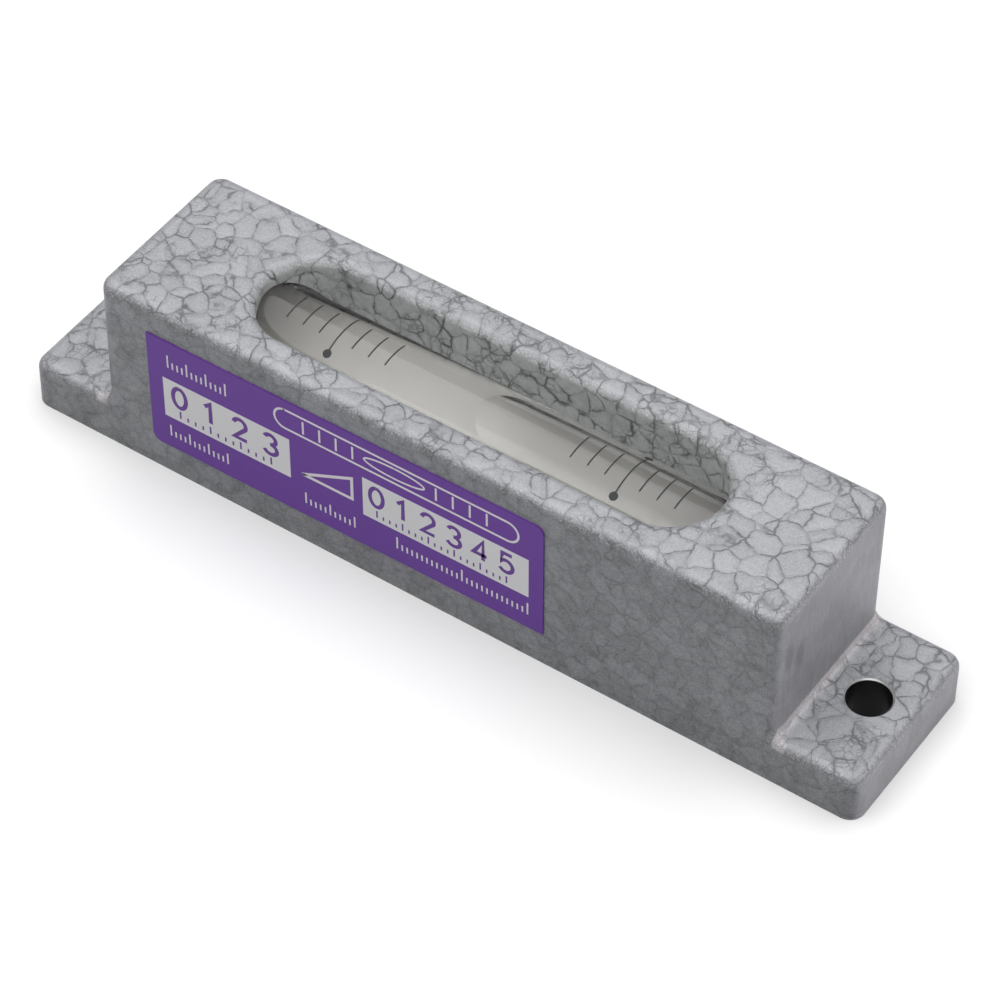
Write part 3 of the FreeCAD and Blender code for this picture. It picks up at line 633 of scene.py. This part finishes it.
# paths of plain numerals in a box 0.6 wide and 1 high
NUMERALS = {
    0: [arc((0.3, 0.5), (0.3, 0.5), 90, 449, 33)],
    1: [[(0.08, 0.78), (0.34, 1.0), (0.34, 0.0)]],
    2: [arc((0.3, 0.71), (0.28, 0.29), 170, -25) + [(0.03, 0.0), (0.6, 0.0)]],
    3: [arc((0.29, 0.75), (0.26, 0.25), 160, -90), arc((0.29, 0.25), (0.3, 0.26), 90, -160)],
    4: [[(0.6, 0.27), (0.0, 0.27), (0.44, 1.0), (0.44, 0.0)]],
    5: [[(0.55, 1.0), (0.12, 1.0), (0.07, 0.52)] + arc((0.28, 0.33), (0.31, 0.32), 125, -150)],
}


def numeral(value, left, bottom, height, weight):
    """The strokes of one numeral. A second stroke lies a little higher than the first."""
    return [stroke([(left + x * height, bottom + y * height) for x, y in path], weight,
                   PRINT_HEIGHT * (1 + 0.15 * number))
            for number, path in enumerate(NUMERALS[value])]


def ruler(left, bottom, right, pitch, short, long, every, width):
    """A row of upright ticks, a longer one at each start, end and every so many."""
    shapes = []
    for number in range(int(round((right - left) / pitch)) + 1):
        top = bottom + (long if number % every == 0 else short)
        x = left + number * pitch
        shapes.append(stroke([(x, bottom), (x, top)], width))
    return shapes


PANELS = {"left": (-22.2, -3.1, -6.4, 2.3), "right": (2.5, -3.1, 22.3, 2.2)}


def plate_print():
    """Generic print. Two pale panels carry plain numbered scales in purple. White ticks, a
    vial with its bubble and a slope mark stand on the purple ground."""
    panels = [on_plate(rectangle(*corners)) for corners in PANELS.values()]
    mesh_piece("plate_panels", *joined(panels), PALE, smooth=False)
    dark = []
    for value, left in zip((0, 1, 2, 3), (-21.0, -17.2, -13.4, -9.6)):
        dark += numeral(value, left, -1.1, 2.7, 0.5)
    dark += ruler(-20.2, -2.6, -8.8, 0.95, 0.55, 1.0, 4, 0.2)
    for value, left in zip((0, 1, 2, 3, 4, 5), (3.4, 6.5, 9.6, 12.7, 15.8, 18.9)):
        dark += numeral(value, left, -1.1, 2.6, 0.46)
    dark += ruler(4.2, -2.6, 19.7, 0.775, 0.5, 0.95, 4, 0.18)
    mesh_piece("plate_figures", *joined(dark), PURPLE_INK, smooth=False)
    light = ruler(-21.4, 4.0, -14.2, 0.6, 0.9, 1.7, 4, 0.2)
    light += ruler(-21.6, -5.8, -14.4, 0.6, 0.8, 1.5, 4, 0.2)
    light += ruler(-4.6, -5.7, 1.4, 0.6, 0.8, 1.5, 5, 0.2)
    light += ruler(6.6, -5.6, 22.2, 0.6, 0.8, 1.6, 13, 0.2)
    light.append(stroke(arc((-6.8, 5.0), (1.3, 1.3), 90, 270) + arc(
        (19.8, 4.8), (1.3, 1.3), -90, 90) + [(-6.8, 6.3), (-7.0, 6.3)], 0.26))
    light.append(stroke(arc((6.4, 4.95), (3.6, 0.7), 90, 449, 41), 0.22))
    for x in (-4.6, -2.6, -0.6, 1.4, 11.4, 13.4, 15.4, 17.4):
        light.append(stroke([(x, 4.1), (x, 5.8)], 0.24))
    light.append(stroke([(-4.9, -1.7), (1.2, -1.7), (1.2, 1.2), (-4.9, -1.7)], 0.36))
    mesh_piece("plate_marks", *joined(light), WHITE, smooth=False)


plate_print()


# ---------------------------------------------------------------- floor, light and camera
def floor():
    """A plain white floor. Bounced light sees it a little darker than the camera does."""
    r = Recipe("floor")
    path = r.node("LightPath").outputs
    seen = r.math("MAXIMUM", path["Is Camera Ray"],
                  r.math("MAXIMUM", path["Is Glossy Ray"], path["Is Transmission Ray"]))
    colour = r.mix(seen, grey(0.24), grey(0.97))
    material = r.shade(r.node("BsdfDiffuse", {"Color": colour}))
    half = FLOOR_HALF
    mesh = bpy.data.meshes.new("floor")
    mesh.from_pydata([(-half, -half, 0), (half, -half, 0), (half, half, 0),
                      (-half, half, 0)], [], [(0, 1, 2, 3)])
    mesh.materials.append(material)
    plane = bpy.data.objects.new("floor", mesh)
    bpy.context.scene.collection.objects.link(plane)


def soft_lamp(name, place, width, height, power):
    """A rectangular lamp that looks at the object's middle."""
    lamp = bpy.data.lights.new(name, "AREA")
    lamp.shape = "RECTANGLE"
    lamp.size, lamp.size_y, lamp.energy = width, height, power
    holder = bpy.data.objects.new(name, lamp)
    target = Vector((0.0, 0.0, casting_high.z / 2))
    holder.location = place
    holder.rotation_euler = (target - Vector(place)).to_track_quat("-Z", "Y").to_euler()
    bpy.context.scene.collection.objects.link(holder)


def world(strength):
    """An even white surround of that strength."""
    scene_world = bpy.data.worlds.new("studio")
    scene_world.use_nodes = True
    background = scene_world.node_tree.nodes["Background"]
    background.inputs["Color"].default_value = (1.0, 1.0, 1.0, 1.0)
    background.inputs["Strength"].default_value = strength
    bpy.context.scene.world = scene_world


def camera():
    """A long lens from the front right and above, turned a little about its own axis."""
    azimuth, elevation, roll = (math.radians(a) for a in CAMERA_ANGLES)
    back = Vector((math.sin(azimuth) * math.cos(elevation),
                   -math.cos(azimuth) * math.cos(elevation), math.sin(elevation)))
    level_right = Vector((math.cos(azimuth), math.sin(azimuth), 0.0))
    level_up = back.cross(level_right)
    right = math.cos(roll) * level_right + math.sin(roll) * level_up
    up = math.cos(roll) * level_up - math.sin(roll) * level_right
    aim = Vector((0.0, 0.0, 12.0 * MM)) + right * CAMERA_AIM[0] + up * CAMERA_AIM[1]
    place = aim + back * CAMERA_AWAY
    data = bpy.data.cameras.new("camera")
    data.lens, data.sensor_width = CAMERA_LENS, 36.0
    data.clip_start, data.clip_end = 0.01, 10.0
    holder = bpy.data.objects.new("camera", data)
    holder.matrix_world = Matrix((
        (right.x, up.x, back.x, place.x), (right.y, up.y, back.y, place.y),
        (right.z, up.z, back.z, place.z), (0, 0, 0, 1)))
    bpy.context.scene.collection.objects.link(holder)
    bpy.context.scene.camera = holder


floor()
world(WORLD_STRENGTH)
soft_lamp("overhead", LAMP_PLACE, LAMP_SIZE, LAMP_SIZE, LAMP_POWER)
camera()
bpy.context.scene.view_settings.view_transform = "Standard"
